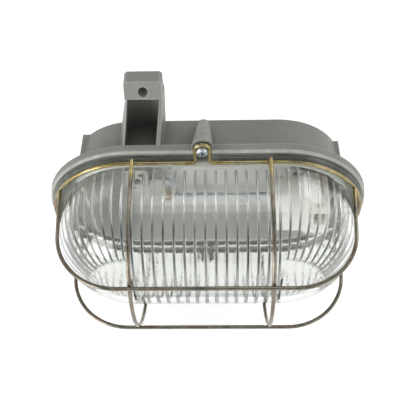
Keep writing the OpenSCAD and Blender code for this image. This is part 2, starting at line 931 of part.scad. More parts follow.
// Terminal block
module terminal_block() {
  color([0.93, 0.92, 0.88])
    difference() {
      block_between([-block_offset - block_width / 2, block_width / 2 - block_offset],
                    [floor_front, floor_front + block_height],
                    [-block_length / 2, block_length / 2]);
      for (side = [-1, 1]) {
        to_right(-block_offset - block_width, tube_depth, side * pole_spacing / 2)
          cylinder(r = tube_radius + fit_gap, h = 2 * block_width);
        for (x = [-tube_screw_spread, tube_screw_spread])
          to_front(x - block_offset, tube_depth, side * pole_spacing / 2)
            cylinder(d = small_thread + 4 * fit_gap, h = block_height);
      }
      to_front(-block_offset, 0, 0)
        cylinder(d = block_screw_thread + 2 * fit_gap, h = block_height + pad_front);
      to_front(-block_offset, block_screw_seat, 0)
        cylinder(d = block_screw_head + 2 * fit_gap, h = block_height);
    }
}

module terminal_tubes() {
  color([0.8, 0.66, 0.36])
    for (side = [-1, 1])
      difference() {
        to_right(-block_offset - tube_length / 2, tube_depth, side * pole_spacing / 2)
          cylinder(r = tube_radius, h = tube_length);
        to_right(-block_offset - block_width, tube_depth, side * pole_spacing / 2)
          cylinder(d = tube_bore, h = 2 * block_width);
        for (x = [-tube_screw_spread, tube_screw_spread])
          to_front(x - block_offset, tube_depth, side * pole_spacing / 2)
            cylinder(d = small_thread + 2 * fit_gap, h = block_height);
      }
}

module terminal_screws() {
  length = 3.2;
  color([0.78, 0.66, 0.4])
    for (side = [-1, 1], x = [-tube_screw_spread, tube_screw_spread])
      to_front(x - block_offset, tube_depth + lead_diameter / 2 + 0.1 + length,
               side * pole_spacing / 2)
        slotted_screw(small_thread, small_thread + fit_gap, slot_depth + 0.6, length);
}

module block_screw() {
  color([0.72, 0.72, 0.7])
    to_front(-block_offset, block_screw_seat, 0)
      screw(block_screw_thread, block_screw_head, screw_head_height * 0.9,
            block_screw_seat - thin_bottom - 0.3);
}

module earth_washer() {
  color([0.8, 0.66, 0.36])
    to_front(earth_x, pad_front, earth_z)
      difference() {
        translate([-pad_radius + 0.5, -pad_radius + 0.5, 0])
          cube([2 * pad_radius - 1, 2 * pad_radius - 1, earth_washer_thickness]);
        translate([0, 0, -cut])
          cylinder(d = thread_bore, h = earth_washer_thickness + 2 * cut);
      }
}

module earth_screw() {
  color([0.8, 0.66, 0.36])
    to_front(earth_x, pad_front + earth_washer_thickness, earth_z)
      screw(screw_thread, screw_head, screw_head_height, earth_screw_length);
}

// Cable entries
module cable_grommet() {
  collar = 2.2;
  lip = 1.6;
  membrane = 1.2;
  pilot = 2;
  neck = entry_bore / 2 - fit_gap;
  length = tub_wall + 2 * collar;
  color([0.1, 0.1, 0.1])
    to_right(left_end_x - collar, entry_depth, 0)
      difference() {
        union() {
          cylinder(r1 = neck + lip, r2 = neck + 1.5 * lip, h = collar);
          cylinder(r = neck, h = length);
          translate([0, 0, collar + tub_wall])
            cylinder(r1 = neck + lip, r2 = neck, h = collar);
        }
        translate([0, 0, collar + membrane])
          cylinder(r = neck - collar, h = length);
        translate([0, 0, -cut])
          cylinder(r = neck - collar, h = collar - membrane + cut);
        translate([0, 0, -cut])
          cylinder(d = pilot, h = length);
      }
}

module blanking_plug() {
  head = 3;
  rim = 2.2;
  slot = 1.8;
  neck = entry_bore / 2 - fit_gap;
  head_x = right_end_x + plug_washer_thickness;
  color([0.35, 0.36, 0.36])
    difference() {
      union() {
        to_right(head_x, entry_depth, 0)
          cylinder(r = neck + rim, h = head);
        to_right(plug_neck_end, entry_depth, 0)
          cylinder(r = neck, h = head_x + head / 2 - plug_neck_end);
      }
      to_right(plug_neck_end - cut, entry_depth, 0)
        cylinder(r = neck - rim, h = right_end_x - plug_neck_end + cut);
      block_between([head_x + head / 2, head_x + head + cut],
                    [entry_depth - slot / 2, entry_depth + slot / 2], [slot - neck, neck - slot]);
    }
}

module plug_washer() {
  color([0.1, 0.1, 0.1])
    to_right(right_end_x, entry_depth, 0)
      difference() {
        cylinder(d = entry_bore + plug_nut_height, h = plug_washer_thickness);
        translate([0, 0, -cut])
          cylinder(d = entry_bore, h = plug_washer_thickness + 2 * cut);
      }
}

module plug_nut() {
  color([0.35, 0.36, 0.36])
    to_right(end_inner_x - plug_nut_height, entry_depth, 0)
      difference() {
        cylinder(d = (entry_bore + plug_nut_height) / cos(30), h = plug_nut_height, $fn = 6);
        translate([0, 0, -cut])
          cylinder(d = entry_bore, h = plug_nut_height + 2 * cut);
      }
}

// Internal leads
module lead(insulation) {
  run_out = 10;
  bare_end = 1;
  turn_x = -block_offset + block_width / 2 + run_out;
  pole = pole_spacing / 2;
  riser_x = clamp_x - lead_bend;
  color(insulation)
    union() {
      translate([bare_end - block_offset, -tube_depth, pole])
        rotate([0, 90, 0])
          cylinder(d = lead_diameter, h = turn_x + block_offset - bare_end);
      translate([turn_x, -tube_depth, pole + lead_bend])
        rotate([90, 0, 0])
          rotate([0, 0, -90])
            lead_turn();
      translate([turn_x + lead_bend, -tube_depth, pole + lead_bend])
        cylinder(d = lead_diameter, h = lead_offset - pole - 2 * lead_bend);
      translate([turn_x + 2 * lead_bend, -tube_depth, lead_offset - lead_bend])
        rotate([90, 0, 0])
          rotate([0, 0, 90])
            lead_turn();
      translate([turn_x + 2 * lead_bend, -tube_depth, lead_offset])
        rotate([0, 90, 0])
          cylinder(d = lead_diameter, h = riser_x - turn_x - 2 * lead_bend);
      translate([riser_x, -tube_depth - lead_bend, lead_offset])
        lead_turn();
      translate([clamp_x, -tube_depth - lead_bend, lead_offset])
        rotate([90, 0, 0])
          cylinder(d = lead_diameter, h = lead_top - tube_depth - 2 * lead_bend);
      translate([clamp_x, lead_bend - lead_top, lead_offset - lead_bend])
        rotate([0, -90, 0])
          rotate([0, 0, -90])
            lead_turn();
      translate([clamp_x, -lead_top, clamp_spread])
        cylinder(d = lead_diameter, h = lead_offset - lead_bend - clamp_spread);
    }
}

module lead_turn() {
  rotate_extrude(angle = 90)
    translate([lead_bend, 0])
      circle(d = lead_diameter);
}

module lead_live() {
  lead([0.45, 0.25, 0.14]);
}

module lead_neutral() {
  mirror([0, 0, 1])
    lead([0.15, 0.3, 0.6]);
}

housing();
glass_gasket();
glass_bowl();
guard_ring();
guard_hoop_upper();
guard_hoop_lower();
guard_hoop_left();
guard_hoop_right();
guard_screws();
lampholder_bracket();
bracket_screws();
lampholder_body();
lampholder_screws();
lampholder_shell();
centre_contact();
lampholder_clamps();
clamp_screws();
terminal_block();
terminal_tubes();
terminal_screws();
block_screw();
earth_washer();
earth_screw();
cable_grommet();
blanking_plug();
plug_washer();
plug_nut();
lead_live();
lead_neutral();
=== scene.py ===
"""Looks of the oval damp-proof light: finishes, fluted glass bowl, floor, light and camera."""
import json
from math import cos, pi, radians, sin

import bmesh
import bpy
from mathutils import Matrix, Vector


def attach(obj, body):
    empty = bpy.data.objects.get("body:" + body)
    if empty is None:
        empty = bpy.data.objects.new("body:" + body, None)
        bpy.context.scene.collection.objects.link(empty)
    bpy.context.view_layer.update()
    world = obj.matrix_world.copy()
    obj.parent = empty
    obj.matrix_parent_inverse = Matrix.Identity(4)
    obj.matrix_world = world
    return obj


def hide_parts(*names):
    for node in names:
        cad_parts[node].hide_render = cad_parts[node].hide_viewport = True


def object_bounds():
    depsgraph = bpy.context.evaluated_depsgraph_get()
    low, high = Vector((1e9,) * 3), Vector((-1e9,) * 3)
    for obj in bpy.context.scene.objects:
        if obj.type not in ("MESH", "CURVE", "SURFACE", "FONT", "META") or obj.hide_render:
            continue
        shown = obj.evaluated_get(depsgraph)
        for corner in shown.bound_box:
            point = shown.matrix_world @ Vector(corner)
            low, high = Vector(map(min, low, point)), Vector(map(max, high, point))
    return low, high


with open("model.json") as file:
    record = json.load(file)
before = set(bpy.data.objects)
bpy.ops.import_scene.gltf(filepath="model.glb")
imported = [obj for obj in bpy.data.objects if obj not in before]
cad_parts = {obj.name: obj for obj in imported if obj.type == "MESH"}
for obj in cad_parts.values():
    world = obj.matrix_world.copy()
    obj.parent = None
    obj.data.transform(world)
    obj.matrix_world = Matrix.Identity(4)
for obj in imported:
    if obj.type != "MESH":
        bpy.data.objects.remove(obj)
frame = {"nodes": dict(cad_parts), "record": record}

CAD_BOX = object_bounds()
MM = 0.001

# Lengths are in millimetres unless a comment says otherwise. A depth is counted from the wall.

# The oval and the glass bowl, as in the construction
HALF_STRAIGHT = 47.0
GLASS_HALF_WIDTH = 51.2
GLASS_THICKNESS = 4.0
INNER_HALF_WIDTH = GLASS_HALF_WIDTH - GLASS_THICKNESS
GLASS_FRONT = 102.95
GLASS_CORNER = 44.0
RIM_HALF_WIDTH = 58.6
RIM_BACK = 38.05
RIM_FRONT = 41.55
RIM_CHAMFER = 0.5
RIM_FILLET = 1.6
RIM_FILLET_MIDDLE = 0.5
FLUTE_PITCH = 6.4
FLUTE_HEIGHT = 1.0
RIB_START = 41.0
RIB_FADE = 3.2
SMOOTH_SPOT = 27.0

# The ribs between the flutes are spaced evenly along each quarter of the inner wall
QUARTER = HALF_STRAIGHT + INNER_HALF_WIDTH * pi / 2
FLUTE_COUNT = round(QUARTER / FLUTE_PITCH)
FLUTE_STEP = QUARTER / FLUTE_COUNT
RIB_HALF_WIDTH = 0.9
NEARLY = 0.001

# The bowl's mesh: where it is cut across a rib, in rib half widths, and its other steps
RIB_CUTS = (-1.3, -1.0, -0.75, -0.5, -0.25, 0.0, 0.25, 0.5, 0.75, 1.0, 1.3)
SPOT_EDGE = (SMOOTH_SPOT - 0.5, SMOOTH_SPOT + 1.5)
WALL_START = RIM_FRONT + 3.0
WALL_MIDDLE = 52.0
FADE_ROWS = 5
FRONT_ROWS = 3
OUTER_STEP = 2.0
INNER_STEP = 1.5
SAME_PLACE = 0.002

# Where the housing's inside paint ends; the seat is what the glass covers of the flange, and
# the light paint there partly paints light into the shade under the glass rim
TUB_SLOPE = 0.0524
TUB_PAINT_EDGE = 45.5
SEAT_PAINT_DEPTH = 37.0
SEAT_PAINT_EDGE = 58.0
BACK_PAINT_DEPTH = 1.5
LEFT_PAINT_EDGE = -83.0
RIGHT_PAINT_EDGE = 89.5

# The flange's lip, which carries a painted highlight line, as (none, full)
LIP_INNER = (58.6, 59.6)
LIP_OUTER = (61.9, 61.4)
LIP_DEPTH = (35.6, 36.8)

# The glass's rim is tinted and rough up to here: its front, as (full, none), and its inner edge
RIM_TINT_FRONT = (RIM_FRONT + 0.2, RIM_FRONT + 1.4)
RIM_TINT_EDGE = GLASS_HALF_WIDTH + 0.4

# The guard is golden, partly as a painted highlight, on the upper part of its ring, as (none,
# full)
GOLD_FRONT = (60.0, 48.0)
GOLD_HEIGHT = (-30.0, 45.0)
GOLD_SHARE = 0.85

# The shade on the ribs: the heights of a rib and the depths of the bowl over which it grows,
# the depths over which it then fades, by how much, and the share that is there everywhere
SHADE_CREST = (0.1, 0.5)
SHADE_SHOULDER = (66.0, 82.0)
SHADE_FRONT = (94.0, 101.0)
SHADE_FRONT_LOSS = 0.72
SHADE_EVERYWHERE = 0.12
SHADE_OPACITY = 0.98

# How far a rounded normal leaves the face's own, as the cosine, on a flat face and on an edge
FLAT_FACE = 0.995
FULL_EDGE = 0.86

# Colours and, as greys, the glass's roughness
PAINT = ((0.20, 0.211, 0.186), (0.248, 0.260, 0.230))
PAINT_GRAIN = ((0.17, 0.175, 0.16), (0.27, 0.275, 0.26))
PAINT_WORN_HIGHLIT = (0.52, 0.53, 0.49)
PAINT_LIP_HIGHLIGHT = (0.50, 0.51, 0.46)
INSIDE_PAINT = ((0.60, 0.60, 0.58), (0.558, 0.558, 0.5394))
GOLD = ((0.25, (0.14, 0.13, 0.09)), (0.42, (0.44, 0.33, 0.12)), (0.55, (0.42, 0.38, 0.20)),
        (0.68, (0.40, 0.24, 0.18)), (0.8, (0.17, 0.18, 0.11)))
DULL_WIRE = ((0.3, (0.12, 0.115, 0.10)), (0.5, (0.28, 0.26, 0.20)), (0.7, (0.23, 0.17, 0.13)))
CLEAR_GLASS = ((0.89, 0.90, 0.885), (0.93, 0.94, 0.925))
SHADOW_GLASS = (0.93, 0.94, 0.935)
RIM_TINT = (0.62, 0.65, 0.56)
RIB_DARK = (0.03, 0.035, 0.032)
RIM_ROUGHNESS = (0.3, 0.3, 0.3)
RIB_ROUGHNESS = (0.6, 0.6, 0.6)
WHITE = (1.0, 1.0, 1.0)
FLOOR_PALE = ((0.90, 0.90, 0.90), (0.92, 0.92, 0.92))

# The floor, in metres
FLOOR_HALF = 3.0
FLOOR_GAP = 0.0005
FLOOR_GLOW = 0.40

# Soft glow of the studio in a direction: its aim, how narrow it is and its strength
GLOWS = {
    "even": ((0.0, 0.0, 1.0), 0, 0.25),
    "back": ((0.0, 1.0, 0.5), 3, 0.42),
    "left": ((-1.0, 0.0, 0.3), 3, 0.50),
    "right": ((1.0, 0.0, 0.3), 3, 0.76),
}
# Square area lights: place and side in metres, power in watts
LIGHTS = {
    "front": ((0.0, -1.1, 0.3), 0.9, 1.2),
    "left_front": ((-0.8, -0.8, 0.25), 0.6, 6.2),
    "right_front": ((0.8, -0.8, 0.25), 0.6, 1.6),
    "top": ((0.0, 0.1, 1.1), 0.6, 1.5),
    "left_back": ((-0.8, 0.5, 0.6), 0.5, 0.8),
    "right_back": ((0.8, 0.5, 0.6), 0.5, 1.8),
}
LIGHTS_AIM = (0.0, -0.05, 0.0)

# The camera as solved on the photograph
CAMERA_AZIMUTH = radians(3.04)
CAMERA_ELEVATION = radians(55.79)
CAMERA_ROLL = radians(-3.03)
CAMERA_DISTANCE = 421.7 * MM
CAMERA_AIM = Vector((-4.9, -32.2, 0.2)) * MM
CAMERA_LENS = 54.3
CAMERA_SENSOR = 36.0
CAMERA_NEAR = 0.01


# ---------------------------------------------------------------- node helpers
class Nodes:
    """Short calls for building one material's node tree, with lengths in metres."""

    def __init__(self, name):
        self.material = bpy.data.materials.new(name)
        self.material.use_nodes = True
        self.tree = self.material.node_tree
        self.tree.nodes.clear()
        self.out = self.tree.nodes.new("ShaderNodeOutputMaterial")
        self.shader = self.tree.nodes.new("ShaderNodeBsdfPrincipled")
        self.tree.links.new(self.shader.outputs[0], self.out.inputs["Surface"])
        self.place = self.tree.nodes.new("ShaderNodeTexCoord").outputs["Object"]

    def link(self, a, b):
        self.tree.links.new(a, b)

    def fill(self, socket, value):
        """Give a socket a number, a colour or another socket's value."""
        if isinstance(value, (int, float)):
            socket.default_value = value
        elif isinstance(value, tuple):
            socket.default_value = (*value, 1.0)
        else:
            self.link(value, socket)

    def set(self, **values):
        for name, value in values.items():
            self.shader.inputs[name.replace("_", " ")].default_value = value

    def colour(self, socket):
        self.link(socket, self.shader.inputs["Base Color"])

    def roughness(self, socket):
        self.link(socket, self.shader.inputs["Roughness"])

    def scaled(self, x, y, z):
        node = self.tree.nodes.new("ShaderNodeMapping")
        node.inputs["Scale"].default_value = (x, y, z)
        self.link(self.place, node.inputs["Vector"])
        return node.outputs[0]

    def noise(self, scale, detail=3.0, roughness=0.55, distortion=0.0, where=None):
        node = self.tree.nodes.new("ShaderNodeTexNoise")
        node.inputs["Scale"].default_value = scale
        node.inputs["Detail"].default_value = detail
        node.inputs["Roughness"].default_value = roughness
        node.inputs["Distortion"].default_value = distortion
        self.link(where or self.place, node.inputs["Vector"])
        return node.outputs["Fac"]

    def ramp(self, value, *stops):
        """The value through stops of (position, colour or grey)."""
        node = self.tree.nodes.new("ShaderNodeValToRGB")
        keys = node.color_ramp.elements
        while len(keys) < len(stops):
            keys.new(0.5)
        for key, (at, colour) in zip(keys, stops):
            colour = colour if isinstance(colour, tuple) else (colour,) * 3
            key.position = at
            key.color = (*colour, 1.0)
        self.link(value, node.inputs["Fac"])
        return node.outputs["Color"]

    def vary(self, value, low, high):
        """From low to high over the middle part of a noise's range."""
        return self.ramp(value, (0.3, low), (0.7, high))

    def math(self, kind, a, b=0.0):
        node = self.tree.nodes.new("ShaderNodeMath")
        node.operation = kind
        self.fill(node.inputs[0], a)
        self.fill(node.inputs[1], b)
        return node.outputs[0]

    def plus(self, a, b):
        return self.math("ADD", a, b)

    def minus(self, a, b):
        return self.math("SUBTRACT", a, b)

    def times(self, a, b):
        return self.math("MULTIPLY", a, b)

    def mix(self, amount, a, b, kind="MIX"):
        node = self.tree.nodes.new("ShaderNodeMix")
        node.data_type = "RGBA"
        node.blend_type = kind
        for place, value in ((0, amount), (6, a), (7, b)):
            self.fill(node.inputs[place], value)
        return node.outputs[2]

    def axes(self):
        """The place on the object as x, depth from the wall and z, in metres."""
        node = self.tree.nodes.new("ShaderNodeSeparateXYZ")
        self.link(self.place, node.inputs[0])
        x, y, z = node.outputs
        return x, self.times(y, -1.0), z

    def step(self, value, low, high):
        """0 at low and 1 at high, smooth between them; low may be the greater."""
        node = self.tree.nodes.new("ShaderNodeMapRange")
        node.interpolation_type = "SMOOTHSTEP"
        node.inputs["From Min"].default_value = low
        node.inputs["From Max"].default_value = high
        self.link(value, node.inputs["Value"])
        return node.outputs["Result"]

    def step_mm(self, value, span):
        """The same between two lengths in millimetres."""
        return self.step(value, span[0] * MM, span[1] * MM)

    def bump(self, height, distance, strength, edge=None):
        node = self.tree.nodes.new("ShaderNodeBump")
        node.inputs["Strength"].default_value = strength
        node.inputs["Distance"].default_value = distance
        self.link(height, node.inputs["Height"])
        if edge:
            self.link(self.rounded(edge), node.inputs["Normal"])
        self.link(node.outputs[0], self.shader.inputs["Normal"])

    def rounded(self, radius):
        node = self.tree.nodes.new("ShaderNodeBevel")
        node.samples = 4
        node.inputs["Radius"].default_value = radius
        return node.outputs[0]

    def edges(self, radius):
        """1 along edges, from how far a rounded normal leaves the face's own."""
        true_normal = self.tree.nodes.new("ShaderNodeNewGeometry").outputs["Normal"]
        dot = self.tree.nodes.new("ShaderNodeVectorMath")
        dot.operation = "DOT_PRODUCT"
        self.link(self.rounded(radius), dot.inputs[0])
        self.link(true_normal, dot.inputs[1])
        return self.step(dot.outputs["Value"], FLAT_FACE, FULL_EDGE)

    def cavity(self, distance):
        node = self.tree.nodes.new("ShaderNodeAmbientOcclusion")
        node.samples = 4
        node.inputs["Distance"].default_value = distance
        return node.outputs["AO"]

    def let_light_through(self, tint):
        """Shadow rays pass, so that light reaches what the glass covers."""
        clear = self.tree.nodes.new("ShaderNodeBsdfTransparent")
        clear.inputs["Color"].default_value = (*tint, 1.0)
        path = self.tree.nodes.new("ShaderNodeLightPath")
        mix = self.tree.nodes.new("ShaderNodeMixShader")
        self.link(path.outputs["Is Shadow Ray"], mix.inputs[0])
        self.link(self.shader.outputs[0], mix.inputs[1])
        self.link(clear.outputs[0], mix.inputs[2])
        self.link(mix.outputs[0], self.out.inputs["Surface"])


# ---------------------------------------------------------------- finishes
def from_middle_line(n, x, z):
    """How far out of the oval's straight middle line the place is."""
    past_straight = n.minus(n.math("ABSOLUTE", x), HALF_STRAIGHT * MM)
    beyond = n.math("MAXIMUM", past_straight, 0.0)
    return n.math("SQRT", n.plus(n.times(beyond, beyond), n.times(z, z)))


def inside_of_tub(n, x, depth, out):
    """1 on the faces inside the tub and under the glass's rim, 0 on the outside."""
    drafted = n.minus(out, n.times(depth, TUB_SLOPE))
    within = n.math("LESS_THAN", drafted, TUB_PAINT_EDGE * MM)
    # The seat under the glass rim takes the light inside paint too, which partly paints light
    # into its shade.
    seat_painted_light = n.times(n.math("GREATER_THAN", depth, SEAT_PAINT_DEPTH * MM),
                   n.math("LESS_THAN", out, SEAT_PAINT_EDGE * MM))
    in_front = n.math("GREATER_THAN", depth, BACK_PAINT_DEPTH * MM)
    ends = n.times(n.math("GREATER_THAN", x, LEFT_PAINT_EDGE * MM),
                   n.math("LESS_THAN", x, RIGHT_PAINT_EDGE * MM))
    return n.times(n.times(n.math("MAXIMUM", within, seat_painted_light), in_front), ends)


def grey_casting():
    """Grey paint; painted shade in corners, worn edges with painted highlight, a painted
    highlight on the lip.
    """
    n = Nodes("grey_painted_casting")
    n.set(Metallic=0.0, Specular_IOR_Level=0.45)
    x, depth, z = n.axes()
    out = from_middle_line(n, x, z)
    cloud = n.noise(38.0, 4.0, 0.6)
    grain = n.noise(900.0, 3.0, 0.7)
    base = n.mix(0.35, n.vary(cloud, *PAINT), n.vary(grain, *PAINT_GRAIN))
    # Ambient occlusion darkens the paint in corners and recesses: painted shade.
    corner_shade = n.ramp(n.cavity(distance=0.006), (0.35, 0.72), (0.9, 1.0))
    outside = n.mix(1.0, base, corner_shade, "MULTIPLY")
    # Edges are painted lighter, partly as wear and partly as a painted highlight where they
    # catch the light.
    worn_and_highlit_edges = n.times(n.edges(radius=0.0011), n.step(n.noise(70.0, 4.0), 0.15, 0.6))
    outside = n.mix(n.times(worn_and_highlit_edges, 0.8), outside, PAINT_WORN_HIGHLIT)
    # A lighter band on the flange's lip: a painted highlight line.
    lip = n.times(n.step_mm(out, LIP_INNER), n.step_mm(out, LIP_OUTER))
    lip = n.times(lip, n.step_mm(depth, LIP_DEPTH))
    lip_highlight = n.times(lip, n.ramp(n.noise(110.0, 4.0), (0.3, 0.35), (0.65, 0.9)))
    outside = n.mix(lip_highlight, outside, PAINT_LIP_HIGHLIGHT)
    inside = n.vary(cloud, *INSIDE_PAINT)
    n.colour(n.mix(inside_of_tub(n, x, depth, out), outside, inside))
    n.roughness(n.vary(n.noise(120.0, 4.0), 0.42, 0.58))
    relief = n.plus(grain, n.times(n.noise(260.0, 3.0), 1.6))
    n.bump(relief, distance=0.00008, strength=0.6, edge=0.0006)
    return n.material


def passivated_wire():
    """Plated wire with passivation hues; golden near the ring's top, partly as a painted
    highlight.
    """
    n = Nodes("passivated_wire")
    n.set(Metallic=1.0)
    _, depth, z = n.axes()
    hue = n.noise(46.0, 3.0, 0.6, distortion=0.6)
    spots = n.ramp(n.noise(420.0, 4.0, 0.7), (0.35, 0.62), (0.6, 1.0))
    # Gold on the ring's upper part is partly passivation hue and partly a painted highlight.
    gold_and_highlight = n.times(n.step_mm(z, GOLD_HEIGHT), n.step_mm(depth, GOLD_FRONT))
    base = n.mix(n.times(gold_and_highlight, GOLD_SHARE), n.ramp(hue, *DULL_WIRE), n.ramp(hue, *GOLD))
    n.colour(n.mix(1.0, base, spots, "MULTIPLY"))
    n.roughness(n.vary(n.noise(240.0, 3.0), 0.14, 0.28))
    n.bump(n.noise(700.0, 3.0), distance=0.00005, strength=0.4)
    return n.material


def plated(name, dark, light, rough, grain=600.0):
    n = Nodes(name)
    n.set(Metallic=1.0)
    n.colour(n.vary(n.noise(130.0, 4.0, 0.6), dark, light))
    n.roughness(n.vary(n.noise(grain, 3.0), rough - 0.07, rough + 0.08))
    n.bump(n.noise(grain, 3.0), distance=0.00003, strength=0.4, edge=0.0002)
    return n.material


def moulded(name, dark, light, rough, coat=0.0):
    n = Nodes(name)
    n.set(Coat_Weight=coat, Coat_Roughness=0.08)
    n.colour(n.vary(n.noise(90.0, 4.0, 0.6), dark, light))
    n.roughness(n.vary(n.noise(300.0, 3.0), rough - 0.06, rough + 0.08))
    n.bump(n.noise(500.0, 3.0), distance=0.00004, strength=0.5, edge=0.0003)
    return n.material


def rib_shade(n, depth):
    """How dark the ribs' edges are: most on the bowl's shoulder, faint elsewhere.

    It stands in for the dark lines along the real ribs, which the ribs' refraction alone
    doesn't give here.
    """
    node = n.tree.nodes.new("ShaderNodeAttribute")
    node.attribute_name = "rib_crest"
    crest = n.step(node.outputs["Fac"], *SHADE_CREST)
    front = n.times(n.step_mm(depth, SHADE_FRONT), SHADE_FRONT_LOSS)
    shoulder = n.times(n.step_mm(depth, SHADE_SHOULDER), n.minus(1.0, front))
    amount = n.plus(n.times(shoulder, 1.0 - SHADE_EVERYWHERE), SHADE_EVERYWHERE)
    patchy = n.ramp(n.noise(60.0, 2.0), (0.35, 0.78), (0.65, 1.0))
    return n.times(n.times(crest, amount), patchy)


def pressed_glass():
    """Wavy clear glass, darkened along the ribs, with a tinted and rougher rim."""
    n = Nodes("pressed_glass")
    n.set(Transmission_Weight=1.0, IOR=1.5, Metallic=0.0)
    x, depth, z = n.axes()
    past_rim = n.step_mm(depth, RIM_TINT_FRONT)
    within_rim = n.math("LESS_THAN", from_middle_line(n, x, z), RIM_TINT_EDGE * MM)
    bowl = n.math("MAXIMUM", past_rim, within_rim)
    shade = rib_shade(n, depth)
    clear = n.vary(n.noise(30.0, 3.0), *CLEAR_GLASS)
    n.colour(n.mix(shade, n.mix(bowl, RIM_TINT, clear), RIB_DARK))
    n.link(n.minus(1.0, n.times(shade, SHADE_OPACITY)), n.shader.inputs["Transmission Weight"])
    polish = n.ramp(n.noise(60.0, 3.0), (0.3, 0.01), (0.75, 0.06))
    n.roughness(n.mix(shade, n.mix(bowl, RIM_ROUGHNESS, polish), RIB_ROUGHNESS))
    streaks = n.noise(900.0, 2.0, 0.6, where=n.scaled(1.0, 0.05, 0.05))
    waves = n.plus(n.noise(34.0, 2.0), n.times(n.noise(260.0, 2.0), 0.12))
    n.bump(n.plus(waves, n.times(streaks, 0.12)), distance=0.0006, strength=0.35)
    n.let_light_through(SHADOW_GLASS)
    return n.material


# The finish of each material slot: dark and light colour, then how rough it is
MATERIALS = {
    "grey_painted_casting": grey_casting(),
    "passivated_wire": passivated_wire(),
    "pressed_glass": pressed_glass(),
    "zinc_screw": plated("zinc_screw", (0.22, 0.27, 0.30), (0.52, 0.57, 0.59), 0.24),
    "zinc_sheet": plated("zinc_sheet", (0.50, 0.51, 0.51), (0.66, 0.66, 0.65), 0.36,
                         grain=240.0),
    "white_porcelain": moulded("white_porcelain", (0.80, 0.79, 0.74), (0.87, 0.86, 0.82), 0.18,
                               coat=0.6),
    "brass": plated("brass", (0.46, 0.41, 0.30), (0.60, 0.54, 0.42), 0.36),
    "black_rubber": moulded("black_rubber", (0.018, 0.018, 0.018), (0.04, 0.04, 0.04), 0.62),
    "grey_plastic": moulded("grey_plastic", (0.16, 0.165, 0.165), (0.21, 0.215, 0.215), 0.5),
    "brown_insulation": moulded("brown_insulation", (0.30, 0.25, 0.22), (0.38, 0.32, 0.28),
                                0.45),
    "blue_insulation": moulded("blue_insulation", (0.27, 0.30, 0.34), (0.34, 0.38, 0.42),
                               0.45),
}
# Nodes that are greyer than their slot's finish, because the photo shows plain grey there
OWN_FINISH = {
    # The gasket's pale grey also paints light into the shade under the glass rim.
    "glass_gasket": moulded("gasket_rubber_painted_light", (0.60, 0.60, 0.57), (0.68, 0.68, 0.65), 0.6),
    "cable_grommet": moulded("grommet_rubber", (0.46, 0.46, 0.44), (0.52, 0.52, 0.50), 0.6),
    "lampholder_clamps": plated("clamp_plating", (0.60, 0.59, 0.55), (0.72, 0.71, 0.67), 0.36),
    "terminal_tubes": plated("tube_plating", (0.55, 0.54, 0.50), (0.66, 0.65, 0.60), 0.36),
    "terminal_block": moulded("terminal_porcelain", (0.42, 0.42, 0.39), (0.5, 0.49, 0.46),
                              0.35),
}


def dress_nodes():
    slots = {part["node"]: part["material_slot"] for part in frame["record"]["subparts"]}
    for name, node in frame["nodes"].items():
        for i in range(len(node.data.materials)):
            node.data.materials[i] = OWN_FINISH.get(name) or MATERIALS[slots[name]]


# ---------------------------------------------------------------- pressed glass bowl
# A station is a place on the oval's middle line and a direction out of it, as (x, angle).
def round_the_oval(cuts):
    """Stations round the whole oval from the distances along one quarter."""
    quarter = []
    for distance in cuts:
        if distance < HALF_STRAIGHT:
            quarter.append((distance, pi / 2))
        else:
            turned = (distance - HALF_STRAIGHT) / INNER_HALF_WIDTH
            quarter.append((HALF_STRAIGHT, pi / 2 - turned))
    upper = [(-x, pi - a) for x, a in reversed(quarter[1:])] + quarter
    lower = [(x, -a) for x, a in reversed(upper[1:-1])]
    return upper + lower


def flute_cuts():
    """Distances along a quarter, close together on each rib and wide apart on each flute."""
    cuts = []
    for i in range(FLUTE_COUNT + 1):
        for part in RIB_CUTS:
            distance = i * FLUTE_STEP + part * RIB_HALF_WIDTH
            if 0 <= distance <= QUARTER + NEARLY:
                cuts.append(distance)
        if i < FLUTE_COUNT:
            cuts.append((i + 0.5) * FLUTE_STEP)
    return cuts


def bowl_profile(inset, back, step):
    """Points from back to the middle, as (half width, depth, outward width, outward depth)."""
    wall, corner = GLASS_HALF_WIDTH - inset, GLASS_CORNER - inset
    bend_width, bend_depth = GLASS_HALF_WIDTH - GLASS_CORNER, GLASS_FRONT - GLASS_CORNER
    fade = [RIB_START + RIB_FADE * i / FADE_ROWS for i in range(FADE_ROWS + 1)]
    depths = [back] + fade + [WALL_MIDDLE]
    points = [(wall, depth, 1.0, 0.0) for depth in depths if depth >= back]
    count = round(corner * pi / 2 / step)
    for i in range(count + 1):
        a = pi / 2 * i / count
        place = (bend_width + corner * cos(a), bend_depth + corner * sin(a))
        points.append((*place, cos(a), sin(a)))
    for i in range(1, FRONT_ROWS + 1):
        points.append((bend_width * (1 - i / FRONT_ROWS), bend_depth + corner, 0.0, 1.0))
    return points


def smoothstep(low, high, value):
    t = min(1.0, max(0.0, (value - low) / (high - low)))
    return t * t * (3 - 2 * t)


def along_quarter(station):
    """The station's distance from the oval's middle, as flute_cuts counts it."""
    x, direction = station
    if abs(x) < HALF_STRAIGHT:
        return abs(x)
    return HALF_STRAIGHT + abs(pi / 2 - abs(direction)) * INNER_HALF_WIDTH


def rib(station, depth):
    """0 on a flute and 1 on a rib's crest, fading in where the ribs begin."""
    distance = along_quarter(station)
    away = abs((distance / FLUTE_STEP + 0.5) % 1.0 - 0.5) * FLUTE_STEP / RIB_HALF_WIDTH
    height = 0.5 + 0.5 * cos(pi * min(1.0, away))
    return height * smoothstep(RIB_START, RIB_START + RIB_FADE, depth)


def outside_spot(station, half_width):
    """0 in the smooth spot at each end of the bowl, 1 where the flutes run."""
    straight = abs(station[0]) < HALF_STRAIGHT - NEARLY
    return 1.0 if straight else smoothstep(*SPOT_EDGE, half_width)


